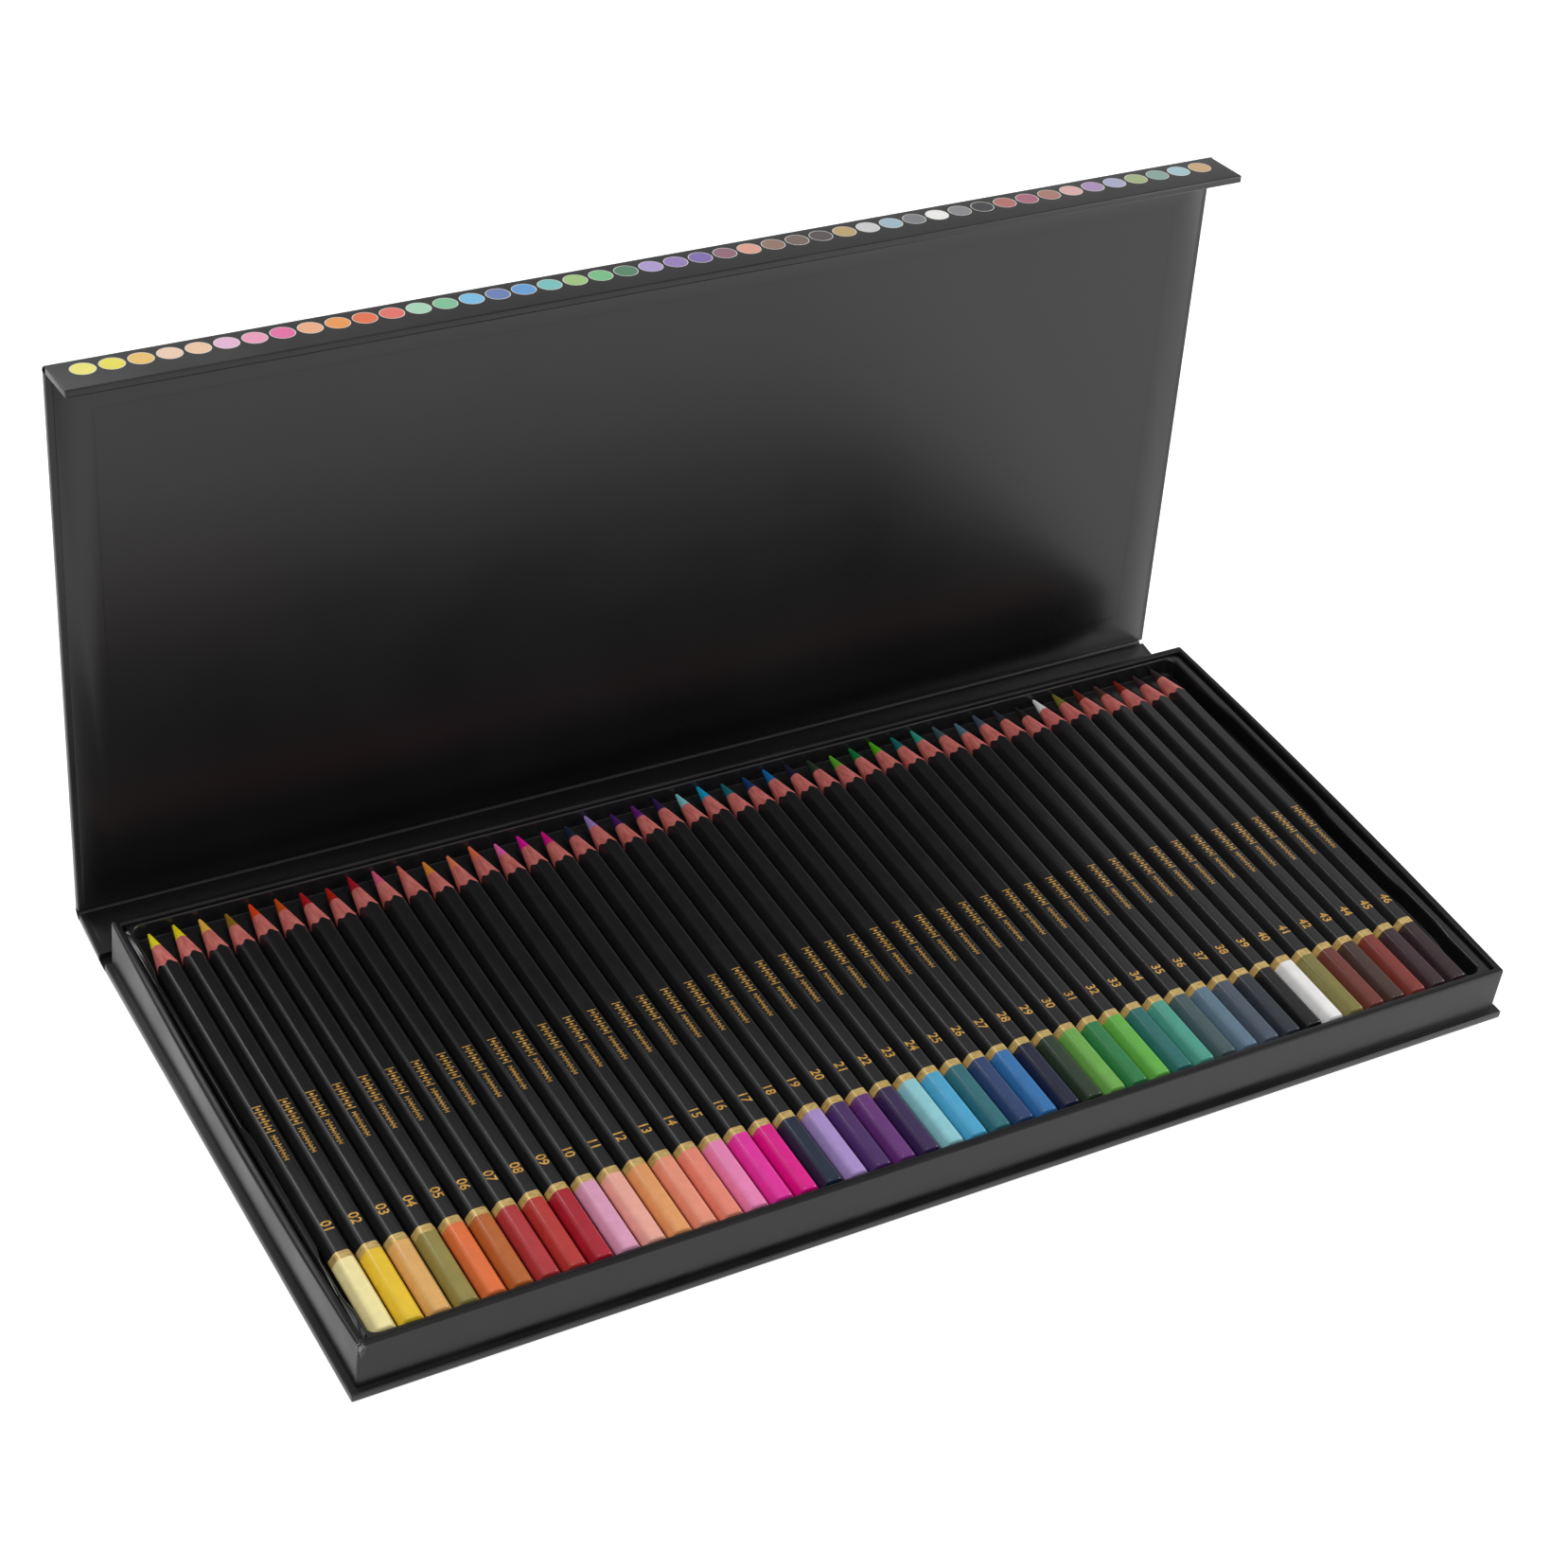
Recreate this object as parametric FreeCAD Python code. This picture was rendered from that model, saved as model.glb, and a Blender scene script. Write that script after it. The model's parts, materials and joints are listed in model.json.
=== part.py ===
import FreeCAD, Part
import math
import os
import random

# A book-style box of coloured pencils. Four rigid boards (base, spine, lid and front flap) are
# joined by paper folds. A low wall frame on the base holds a formed tray with a row of pencils.
# X runs left to right, Y front to back and Z up. The origin lies on the underside of the base
# board, below the middle of the wall frame. Lengths are millimetres and angles degrees.

# Pencils
pencil_count = 46
pencil_pitch = 8.21
pencil_across_flats = 7.05
pencil_length = 175.0
pencil_wear = 2.4  # most that sharpening has taken off a pencil
point_length = 19.0  # from the tip to where the cone meets the corners of the hexagon
tip_radius = 0.45
core_radius = 1.7
end_chamfer = 0.8
end_cap = 0.8  # lacquer and wood left over the blunt end of the core

# Formed tray
tray_sheet = 0.5
tray_height = 15.2
pocket_depth = 6.35
pocket_corner_radius = 4.0
left_flange = 1.9
right_flange = 3.2
front_flange = 0.8
back_flange = 0.5
left_gap = 1.2  # from the pocket's left wall to the first pencil
right_gap = 4.5
blunt_end_gap = 0.8
tip_gap = 0.1
pencil_seat_gap = 0.05
notch_depth = 0.8
long_notch_length = 70.0
long_notch_middle = 30.0
short_notch_length = 20.0
short_notch_middle = -65.0
notch_corner_radius = 3.0
back_step_height = 2.6  # a shoulder along the foot of the pocket's back wall
back_step_depth = 0.4
channel_count = 3
channel_spacing = 58.0
channel_width = 12.0
channel_end_margin = 20.0  # pocket floor left flat beyond each end of a channel

# Wall frame
tray_clearance = 0.3
wall_thickness = 2.3
wall_height = 16.6

# Case boards
ledge = 2.2  # base board showing outside the wall frame
base_thickness = 2.6
board_thickness = 2.4
wall_clearance = 0.2  # from a closed spine or flap to the wall beside it
lid_clearance = 0.5  # from the top of the walls to the closed lid
flap_clearance = 0.6  # from the base board to the edge of the closed flap
fold_play = 0.2
hinge_paper = 0.35
liner_sheet = 0.25
liner_inset = 1.9

# How far each board has turned up from lying flat behind the box
spine_angle = 7.0
lid_angle = 84.0
flap_angle = 173.0

# Closure
magnet_diameter = 10.0
magnet_thickness = 1.2
plate_diameter = 12.0
plate_thickness = 0.6
closure_offset = 100.0  # from the middle of the box to each magnet

# Sizes that follow from those above
pencil_corner_radius = pencil_across_flats / math.sqrt(3)
pencil_row = (pencil_count - 1) * pencil_pitch + 2 * pencil_corner_radius
pocket_length = left_gap + pencil_row + right_gap
pocket_width = blunt_end_gap + pencil_length + tip_gap
tray_length = left_flange + pocket_length + right_flange
tray_width = front_flange + pocket_width + back_flange
tray_left = -tray_length / 2
tray_front = -tray_width / 2
tray_floor = base_thickness + tray_height - pocket_depth
tray_top = base_thickness + tray_height
pocket_left = tray_left + left_flange
pocket_front = tray_front + front_flange
first_pencil_x = pocket_left + left_gap + pencil_corner_radius
pencil_blunt_end = pocket_front + blunt_end_gap
pencil_axis_height = tray_floor + pencil_seat_gap + pencil_across_flats / 2

frame_inner_length = tray_length + 2 * tray_clearance
frame_inner_width = tray_width + 2 * tray_clearance
frame_length = frame_inner_length + 2 * wall_thickness
frame_width = frame_inner_width + 2 * wall_thickness
frame_top = base_thickness + wall_height

case_length = frame_length + 2 * ledge
fold_gap = 2 * board_thickness + fold_play
board_margin = fold_gap / 2  # from a fold's axis to the edge of the board beside it
fold_y = frame_width / 2 + wall_clearance + board_thickness
spine_span = frame_top + lid_clearance + board_thickness
lid_span = frame_width + 2 * (wall_clearance + board_thickness)
flap_span = spine_span - base_thickness - flap_clearance
flap_middle = (board_margin + flap_span) / 2


def along(angle):
    """Unit vector up a board that has turned by this angle from lying flat towards the back."""
    turn = math.radians(angle)
    return FreeCAD.Vector(0, math.cos(turn), math.sin(turn))


def inward(angle):
    """Unit vector out of the inner face of a board at this angle."""
    return along(angle + 90)


spine_fold = FreeCAD.Vector(0, fold_y, 0)
lid_fold = spine_fold + along(spine_angle) * spine_span
flap_fold = lid_fold + along(lid_angle) * lid_span


def box(left, front, bottom, length, width, height):
    return Part.makeBox(length, width, height, FreeCAD.Vector(left, front, bottom))


def rounded_box(left, front, bottom, length, width, height, radius):
    """A box with its four upright edges rounded."""
    block = box(left, front, bottom, length, width, height)
    upright = [edge for edge in block.Edges if abs(edge.tangentAt(0).z) > 0.9]
    return block.makeFillet(radius, upright)


def strip_along_x(outline, length):
    """Run a closed outline, given as points in the plane X = 0, along X on both sides of it."""
    face = Part.Face(Part.makePolygon(outline + outline[:1]))
    face.translate(FreeCAD.Vector(-length / 2, 0, 0))
    return face.extrude(FreeCAD.Vector(length, 0, 0))


def folding_board(fold, angle, start, end, near_face, far_face, length):
    """A board that leaves a fold at an angle, between two distances from it along the board and
    two distances from its outer face."""
    corners = [(start, near_face), (end, near_face), (end, far_face), (start, far_face)]
    outline = [fold + along(angle) * reach + inward(angle) * depth for reach, depth in corners]
    return strip_along_x(outline, length)


def fold_strip(fold, angle_below, angle_above):
    """The paper of a fold, bent about its axis between the edges of two boards."""
    bend = math.radians(angle_above - angle_below)
    below = fold - along(angle_below) * board_margin
    above = fold + along(angle_above) * board_margin
    inner_corner = (inward(angle_below) + inward(angle_above)) * (hinge_paper / (1 + math.cos(bend)))
    outline = [
        below,
        fold,
        above,
        above + inward(angle_above) * hinge_paper,
        fold + inner_corner,
        below + inward(angle_below) * hinge_paper,
    ]
    return strip_along_x(outline, case_length)


def closure_discs(centre, axis, diameter, thickness):
    """A disc on each side of the middle, sunk along the axis from its centre."""
    discs = []
    for side in (-1, 1):
        place = centre + FreeCAD.Vector(side * closure_offset, 0, 0)
        discs.append(Part.makeCylinder(diameter / 2, thickness, place, axis))
    return discs


def magnet_discs():
    centre = flap_fold + along(flap_angle) * flap_middle + inward(flap_angle) * board_thickness
    return closure_discs(centre, inward(flap_angle) * -1, magnet_diameter, magnet_thickness)


def plate_discs():
    """Steel plates let into the front wall where the magnets come to lie."""
    centre = FreeCAD.Vector(0, -frame_width / 2, spine_span - flap_middle)
    return closure_discs(centre, FreeCAD.Vector(0, 1, 0), plate_diameter, plate_thickness)


def base_board():
    front = -frame_width / 2 - ledge
    rear = fold_y - board_margin
    return box(-case_length / 2, front, 0, case_length, rear - front, base_thickness)


def spine_board():
    end = spine_span - board_margin
    return folding_board(spine_fold, spine_angle, board_margin, end, 0, board_thickness, case_length)


def lid_board():
    end = lid_span - board_margin
    return folding_board(lid_fold, lid_angle, board_margin, end, 0, board_thickness, case_length)


def flap_board():
    board = folding_board(
        flap_fold, flap_angle, board_margin, flap_span, 0, board_thickness, case_length
    )
    return board.cut(magnet_discs())


def lid_liner():
    start = board_margin + liner_inset
    end = lid_span - board_margin - liner_inset
    top_face = board_thickness + liner_sheet
    length = case_length - 2 * liner_inset
    return folding_board(lid_fold, lid_angle, start, end, board_thickness, top_face, length)


def long_wall(front):
    return box(-frame_length / 2, front, base_thickness, frame_length, wall_thickness, wall_height)


def front_wall():
    return long_wall(-frame_width / 2).cut(plate_discs())


def back_wall():
    return long_wall(frame_width / 2 - wall_thickness)


def end_walls():
    """The two short walls, which fit between the long ones."""
    walls = []
    for left in (-frame_length / 2, frame_length / 2 - wall_thickness):
        walls.append(
            box(left, -frame_inner_width / 2, base_thickness, wall_thickness, frame_inner_width, wall_height)
        )
    return Part.makeCompound(walls)


def pocket_shape(grown, bottom, height):
    """The pocket for the pencils with its two finger notches, grown outwards by the sheet."""
    shape = rounded_box(
        pocket_left - grown,
        pocket_front - grown,
        bottom,
        pocket_length + 2 * grown,
        pocket_width + 2 * grown,
        height,
        pocket_corner_radius + grown,
    )
    notches = ((long_notch_middle, long_notch_length), (short_notch_middle, short_notch_length))
    for middle, length in notches:
        notch = rounded_box(
            pocket_left - notch_depth - grown,
            middle - length / 2 - grown,
            bottom,
            2 * notch_corner_radius + notch_depth + 2 * grown,
            length + 2 * grown,
            height,
            notch_corner_radius,
        )
        shape = shape.fuse(notch)
    return shape


def back_step():
    """The shoulder that runs along the back wall of the pocket, below the tips."""
    return box(
        pocket_left + pocket_corner_radius,
        pocket_front + pocket_width - back_step_depth,
        tray_floor - tray_sheet,
        pocket_length - 2 * pocket_corner_radius,
        back_step_depth + tray_sheet,
        back_step_height + tray_sheet,
    )


def floor_channel(middle, grown, bottom, height):
    """A foot pressed down out of the pocket floor, running along the box."""
    return box(
        pocket_left + channel_end_margin - grown,
        middle - channel_width / 2 - grown,
        bottom,
        pocket_length - 2 * channel_end_margin + 2 * grown,
        channel_width + 2 * grown,
        height,
    )


def insert_tray():
    """One formed sheet: skirt and rim outside, pocket inside, with channels as its feet."""
    skirt_corner_radius = left_flange
    outside = rounded_box(
        tray_left, tray_front, base_thickness, tray_length, tray_width, tray_height, skirt_corner_radius
    )
    inside = rounded_box(
        tray_left + tray_sheet,
        tray_front + tray_sheet,
        base_thickness,
        tray_length - 2 * tray_sheet,
        tray_width - 2 * tray_sheet,
        tray_height - tray_sheet,
        skirt_corner_radius - tray_sheet,
    )
    tray = outside.cut(inside)
    tray = tray.fuse(pocket_shape(tray_sheet, tray_floor - tray_sheet, pocket_depth + tray_sheet))
    pocket_middle = pocket_front + pocket_width / 2
    middles = []
    for number in range(channel_count):
        middles.append(pocket_middle + (number - (channel_count - 1) / 2) * channel_spacing)
    for middle in middles:
        foot_height = tray_floor - base_thickness
        tray = tray.fuse(floor_channel(middle, tray_sheet, base_thickness, foot_height))
    tray = tray.cut(pocket_shape(0, tray_floor, pocket_depth))
    for middle in middles:
        channel_bottom = base_thickness + tray_sheet
        tray = tray.cut(floor_channel(middle, 0, channel_bottom, tray_floor - channel_bottom))
    return tray.fuse(back_step()).removeSplitter()


def turned_solid(profile, x, z):
    """Turn an outline, given as radius and Y, about the line along Y through x and z."""
    points = [FreeCAD.Vector(x + radius, y, z) for radius, y in profile]
    face = Part.Face(Part.makePolygon(points + points[:1]))
    return face.revolve(FreeCAD.Vector(x, 0, z), FreeCAD.Vector(0, 1, 0), 360)


def hexagonal_bar(x, y, z, length):
    """A bar along Y with one flat upwards."""
    corners = []
    for number in range(6):
        turn = math.radians(60 * number)
        side = pencil_corner_radius * math.cos(turn)
        rise = pencil_corner_radius * math.sin(turn)
        corners.append(FreeCAD.Vector(x + side, y, z + rise))
    face = Part.Face(Part.makePolygon(corners + corners[:1]))
    return face.extrude(FreeCAD.Vector(0, length, 0))


def pencil(x, length):
    """A sharpened pencil: a wooden casing and the core inside it."""
    blunt_end = pencil_blunt_end
    tip = blunt_end + length
    height = pencil_axis_height
    envelope = turned_solid(
        [
            (0, blunt_end),
            (pencil_corner_radius - end_chamfer, blunt_end),
            (pencil_corner_radius, blunt_end + end_chamfer),
            (pencil_corner_radius, tip - point_length),
            (tip_radius, tip),
            (0, tip),
        ],
        x,
        height,
    )
    core_start = FreeCAD.Vector(x, blunt_end + end_cap, height)
    core_bar = Part.makeCylinder(core_radius, length - end_cap, core_start, FreeCAD.Vector(0, 1, 0))
    casing = hexagonal_bar(x, blunt_end, height, length).common(envelope).cut(core_bar)
    core = core_bar.common(envelope)
    return Part.makeCompound([casing.Solids[0], core.Solids[0]])


def pencils():
    """The row of pencils, each worn down by its own amount."""
    wear = random.Random(46)
    row = {}
    for number in range(pencil_count):
        x = first_pencil_x + number * pencil_pitch
        length = pencil_length - pencil_wear * wear.random()
        row["pencil_%02d" % (number + 1)] = pencil(x, length)
    return row


def main():
    nodes = {
        "base_board": base_board(),
        "spine_board": spine_board(),
        "lid_board": lid_board(),
        "flap_board": flap_board(),
        "lid_liner": lid_liner(),
        "base_spine_hinge": fold_strip(spine_fold, 0, spine_angle),
        "spine_lid_hinge": fold_strip(lid_fold, spine_angle, lid_angle),
        "lid_flap_hinge": fold_strip(flap_fold, lid_angle, flap_angle),
        "front_wall": front_wall(),
        "back_wall": back_wall(),
        "end_walls": end_walls(),
        "flap_magnets": Part.makeCompound(magnet_discs()),
        "wall_plates": Part.makeCompound(plate_discs()),
        "insert_tray": insert_tray(),
    }
    nodes.update(pencils())
    os.makedirs("parts", exist_ok=True)
    for name, shape in nodes.items():
        shape.exportStep("parts/%s.step" % name)


main()
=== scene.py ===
import json
import math

import bmesh
import bpy
from mathutils import Matrix, Vector


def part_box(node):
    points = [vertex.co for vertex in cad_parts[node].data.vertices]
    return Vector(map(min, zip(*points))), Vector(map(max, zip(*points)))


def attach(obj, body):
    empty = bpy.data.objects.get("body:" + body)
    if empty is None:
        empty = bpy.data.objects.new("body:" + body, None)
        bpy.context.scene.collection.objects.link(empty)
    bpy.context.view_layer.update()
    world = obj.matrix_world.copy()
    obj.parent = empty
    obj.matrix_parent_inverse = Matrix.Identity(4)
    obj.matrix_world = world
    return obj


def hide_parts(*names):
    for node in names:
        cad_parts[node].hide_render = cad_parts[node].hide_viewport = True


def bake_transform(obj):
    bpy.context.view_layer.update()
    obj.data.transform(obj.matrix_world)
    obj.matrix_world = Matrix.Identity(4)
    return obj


bl_info = {
    "name": "Coloured pencil box",
    "version": (1, 0, 0),
    "blender": (4, 5, 0),
    "location": "3D View > Sidebar > Pencil Box",
    "description": "Dresses a book-style pencil box: boards, wall frame, formed tray and pencils",
    "category": "Object",
}

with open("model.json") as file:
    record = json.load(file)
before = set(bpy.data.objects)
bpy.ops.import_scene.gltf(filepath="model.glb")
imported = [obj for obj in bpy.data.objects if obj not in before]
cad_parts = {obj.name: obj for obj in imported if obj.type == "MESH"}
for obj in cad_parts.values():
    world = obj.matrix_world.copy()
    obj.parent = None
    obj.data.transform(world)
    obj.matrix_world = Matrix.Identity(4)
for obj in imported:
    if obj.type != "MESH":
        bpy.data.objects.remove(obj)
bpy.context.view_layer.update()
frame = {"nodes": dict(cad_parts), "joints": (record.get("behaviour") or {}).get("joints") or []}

MM = 0.001

# Places nearer to each other than this count as one
SAME_PLACE = 0.0001 * MM
NEARLY = 0.001 * MM

# Lacquer of each pencil's dipped end, from left to right
DIP_COLOURS = (
    "f0e2a2 e6c02c dca964 8f8344 e0703a b5622c ae3237 b4342f a81a2c dc9cba "
    "eba898 e29c62 e89278 e88672 ea82b4 e22c9c dc0a86 18233a aa8ecb 472560 "
    "642e74 33204e 8ecad2 4aa4cc 2c6a74 28406c 2f70ac 181c36 263826 6aa84a "
    "2a7a44 62ae44 266a66 4a9c88 42565a 5c7688 485462 2a3038 121212 ecebea "
    "7e763e 6c332c 46302a 7e332b 38242a 302024"
).split()

# Cores whose colour differs from the lacquer of their pencil
CORE_COLOURS = {
    "pencil_01": "f0e43a",
    "pencil_02": "eedc22",
    "pencil_03": "eec070",
    "pencil_04": "8e6c28",
    "pencil_05": "e0502c",
    "pencil_06": "c4562c",
    "pencil_10": "dc7890",
    "pencil_11": "d88078",
}

# Printed dots along the front flap, from left to right
DOT_COLOURS = (
    "e6e070 e2d850 e4ba66 e8c6ac e6c09e e0b0d0 e696b6 de66a0 e8a880 e69444 "
    "de6a40 de6a60 a0d0b4 78bc94 72b8e0 6078b0 5a98d0 72bcb8 98c078 70b880 "
    "4a7c5e a894cc 9078b8 7864a8 8a6070 dc9c88 8c6e60 6e5e54 4c4242 b89c6a "
    "c8c8ca 9cb4c4 76787c eceae8 808284 2c2c30 b06a64 a86078 a87468 d8aaa8 "
    "a88ab8 a8a8c8 a0b07e 82a49c a2c4cc caa478"
).split()
DOT_RIM_COLOUR = "d9d6cf"
# Widths of a dot's rim and of the narrow change of colour inside it
DOT_RIM = 0.22 * MM
DOT_EDGE = 0.02 * MM

# Foil and ink stand this far off the surface that they are printed on
PRINT_LIFT = 0.015 * MM
# The type leaves faces smaller than this, which show nothing
SLIVER_AREA = 0.0001 * MM**2

hinges = {joint["name"]: joint for joint in frame["joints"] if joint["type"] == "hinge"}
spine_fold = Vector(hinges["spine_hinge"]["pos_m"])
lid_fold = Vector(hinges["lid_hinge"]["pos_m"])
flap_fold = Vector(hinges["flap_hinge"]["pos_m"])
spine_angle = hinges["spine_hinge"]["range_deg"][1]
lid_angle = spine_angle + hinges["lid_hinge"]["range_deg"][1]
flap_angle = lid_angle + hinges["flap_hinge"]["range_deg"][1]
spine_span = (lid_fold - spine_fold).length
lid_span = (flap_fold - lid_fold).length

base_low, base_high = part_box("base_board")
tray_low, tray_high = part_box("insert_tray")
wall_low, wall_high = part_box("front_wall")
half_length = base_high.x
# From a fold to the edge of the board beside it
board_margin = spine_fold.y - base_high.y

# From the base to the edge of the closed flap
FLAP_CLEARANCE = 0.6 * MM
# Thickness of the wrap where it bends round a fold
FOLD_PAPER = 0.35 * MM
# Thickness of the spine's liner, which has less room than the lid's
SPINE_LINER = 0.06 * MM
# Rounding along the edges of a liner
LINER_EDGE = 0.12 * MM
# Widths and drops of the liner's step over the edge of the turned-in wrap
LINER_STEP = ((0.5 * MM, 0.06 * MM), (0.5 * MM, 0.02 * MM))

# The pocket pressed into the tray, inside the four flanges of its rim
pocket_left = tray_low.x + 1.9 * MM
pocket_right = tray_high.x - 3.2 * MM
pocket_front = tray_low.y + 0.8 * MM
pocket_back = tray_high.y - 0.5 * MM

# Rounded turns of the sheet: from the skirt into the rim, over the lip and round the pocket's foot
SKIRT_CORNER = 1.9 * MM
SKIRT_ROLL = 0.2 * MM
LIP_WIDTH = 0.22 * MM
LIP_HEIGHT = 0.6 * MM
FOOT_WIDTH = 0.45 * MM
FOOT_HEIGHT = 0.5 * MM

# Shoulder along the foot of the pocket's back wall
SHOULDER_HEIGHT = 2.6 * MM
SHOULDER_DEPTH = 0.4 * MM
SHOULDER_SLOPE = 0.2 * MM
SHOULDER_MARGIN = 5 * MM

# Finger notches on the pocket's left side, in millimetres: middle and length along Y, depth, and
# how far a sloping end reaches to both sides of the notch's end
NOTCHES = ((30, 70), (-65, 20))
NOTCH_DEPTH = 1
NOTCH_SLOPE = 2

# Bends of the pocket's right side, with two shallow bays: place along Y and depth, in millimetres
BAYS = ((-70, 0), (-63, 0.9), (-46, 0.9), (-38, 0), (-4, 0), (4, 0.9), (52, 0.9), (60, 0))
# Rounding at every bend of a notch or a bay
BEND_ROUNDING = 1.6 * MM

# Channels under the pocket, which carry the tray
CHANNEL_SPACING = 58 * MM
CHANNEL_HALF_WIDTH = 6 * MM
CHANNEL_END_MARGIN = 20 * MM
CHANNEL_ROLL = 0.5 * MM
CHANNEL_DRAFT = 0.4 * MM
CHANNEL_CORNER = 2 * MM

# Runs of the foil ornament, in millimetres: start, pitch, number of strokes, thickness of a stroke,
# widths of every other stroke as shares of the ornament's width, length and width of a lozenge
ORNAMENT_RUNS = (
    (0, 2.1, 6, 0.34, (1, 1), 1.1, 0.55),
    (12.4, 1.25, 9, 0.26, (0.5, 0.7), 0.6, 0.36),
)
ORNAMENT_WIDTH = 2.9 * MM
# From the blunt end to the ornament and to the number
ORNAMENT_PLACE = 89.5 * MM
NUMBER_PLACE = 39.4 * MM

# Soft lights: name, place, point that it faces, size, share of the lights' power
LIGHTS = (
    ("key_light", (-0.4, -0.6, 1.5), (0, 0, 0), 1.1, 0.6),
    ("back_light", (-0.4, 1.15, 1.1), (-0.1, 0, 0), 0.75, 0.6),
    ("side_light", (1.5, -0.75, 0.5), (0.1, 0.1, 0.1), 0.9, 1.2),
)


def number_setting(name, default, description, **kind):
    """A number, with its unit and its limits."""
    return bpy.props.FloatProperty(name=name, description=description, default=default, **kind)


def length_setting(name, millimetres, description):
    """A length, whose default is given in millimetres."""
    return number_setting(name, millimetres * MM, description, unit="LENGTH")


def share_setting(name, default, description):
    """A share, from nought to one."""
    return number_setting(name, default, description, min=0, max=1, subtype="FACTOR")


def angle_setting(name, degrees, description):
    """An angle, whose default is given in degrees."""
    return number_setting(name, math.radians(degrees), description, subtype="ANGLE")


def vector_setting(name, default, description, **kind):
    """Three numbers, such as a place or a linear colour."""
    return bpy.props.FloatVectorProperty(
        name=name, description=description, default=default, size=3, **kind
    )


def colour_setting(name, default, description):
    """A linear colour."""
    return vector_setting(name, default, description, subtype="COLOR", min=0, max=1)


class CaseSettings(bpy.types.PropertyGroup):
    wrap_colour: colour_setting(
        "Wrap colour", (0.0045, 0.0045, 0.005), "Colour of the paper wrapped round the boards"
    )
    wrap_roughness: share_setting("Wrap roughness", 0.34, "How dull the wrapped paper is")
    liner_roughness: share_setting("Liner roughness", 0.29, "How dull the paper that lines the lid is")
    wrap_shine: share_setting("Wrap shine", 0.3, "Strength of the wrap's reflection")
    board_thickness: length_setting("Board thickness", 2.4, "Thickness of the spine, lid and flap boards")
    board_rounding: length_setting(
        "Board rounding", 0.42, "Radius where the paper turns round the edge of a board"
    )
    rim_slope: length_setting(
        "Rim slope", 0.85, "Fall of the left end wall's rim towards the outside, at its middle"
    )
    wall_thickness: length_setting("Wall thickness", 2.3, "Thickness of the wall frame round the tray")
    wall_rounding: length_setting("Wall rounding", 0.8, "Radius along the top of the wall frame")
    wall_bow: length_setting("Wall bow", 1.5, "How far the end walls bulge outwards at their middle")
    paper_proud: length_setting(
        "Paper thickness", 0.06, "Paper that covers the magnets and their steel plates"
    )
    liner_inset: length_setting("Liner inset", 1.9, "Wrap left showing round the liner")
    liner_sheet: length_setting("Liner sheet", 0.25, "Thickness of the liner")
    turned_in: length_setting(
        "Turned-in wrap", 12.5, "Width of wrap turned in under the liner, which shows as a faint step"
    )


class TraySettings(bpy.types.PropertyGroup):
    plastic_colour: colour_setting("Plastic colour", (0.008, 0.008, 0.009), "Colour of the formed sheet")
    sheet: length_setting("Sheet thickness", 0.25, "Thickness of the formed sheet")
    pocket_depth: length_setting("Pocket depth", 6.35, "From the rim down to the floor below the pencils")
    corner_radius: length_setting("Corner radius", 4.0, "Radius of the pocket's upright corners")
    left_fall: length_setting("Left fall", 0.8, "Fall of the left rim from the pocket to the skirt")
    rim_width: length_setting("Rim roll", 0.8, "Width of the rounded lip along both ends of the pocket")


class PencilSettings(bpy.types.PropertyGroup):
    across_flats: length_setting("Across flats", 7.05, "Width of the hexagonal barrel between two flats")
    edge_rounding: length_setting(
        "Edge rounding", 0.85, "How far the lacquer rounds off the edges of the hexagon"
    )
    point_length: length_setting(
        "Point length", 19.0, "From the tip to where the cone meets the edges of the hexagon"
    )
    core_length: length_setting("Core length", 7.0, "Bare core at the tip")
    tip_radius: length_setting("Tip radius", 0.45, "Radius of the sharpened tip")
    dip_length: length_setting("Dip length", 27.0, "Coloured lacquer at the blunt end")
    band_width: length_setting("Band width", 2.7, "Gold band between the dip and the barrel")
    end_chamfer: length_setting("End chamfer", 0.8, "Chamfer of the blunt end")
    digit_size: length_setting("Number size", 4.35, "Type size of the foil number on each pencil")


class DotSettings(bpy.types.PropertyGroup):
    diameter: length_setting("Dot diameter", 7.6, "Diameter of a printed dot with its pale rim")
    pitch: length_setting("Dot pitch", 8.44, "Distance between two dots")
    from_fold: length_setting("Distance from fold", 7.9, "From the fold to the middle of the dots")


class StageSettings(bpy.types.PropertyGroup):
    floor_colour: colour_setting("Floor colour", (0.92, 0.92, 0.92), "Colour of the floor")
    floor_reach: length_setting(
        "Floor reach", 14000, "From the box to the edge of the floor, far enough to fill low views"
    )
    floor_glow: number_setting(
        "Floor glow", 0.55, "Light given off by the floor, as by a lit sweep", min=0
    )
    room_light: number_setting("Room light", 0.55, "Strength of the even light all round", min=0)
    key_light: number_setting(
        "Key light", 12.0, "Power that the soft lights take their shares of", min=0, unit="POWER"
    )
    azimuth: angle_setting("Azimuth", -34.75, "Direction of the camera round the box")
    elevation: angle_setting("Elevation", 38.41, "Height of the camera above the horizon")
    roll: angle_setting("Roll", 8.557, "Turn of the camera about its own axis")
    distance: length_setting("Distance", 1060.8, "From the camera to the point that it looks at")
    target: vector_setting(
        "Target",
        (11.62 * MM, 53.04 * MM, 40 * MM),
        "Point that the camera looks at",
        subtype="XYZ",
        unit="LENGTH",
    )
    lens: number_setting("Lens", 77.13, "Focal length in millimetres", min=1, unit="CAMERA")


def linear(text):
    """A colour written as six hexadecimal digits, as linear red, green and blue."""
    values = [int(text[start : start + 2], 16) / 255 for start in (0, 2, 4)]
    return tuple(
        value / 12.92 if value <= 0.04045 else ((value + 0.055) / 1.055) ** 2.4 for value in values
    )


def along(angle):
    """Unit vector up a board at this angle."""
    turn = math.radians(angle)
    return Vector((0, math.cos(turn), math.sin(turn)))


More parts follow.
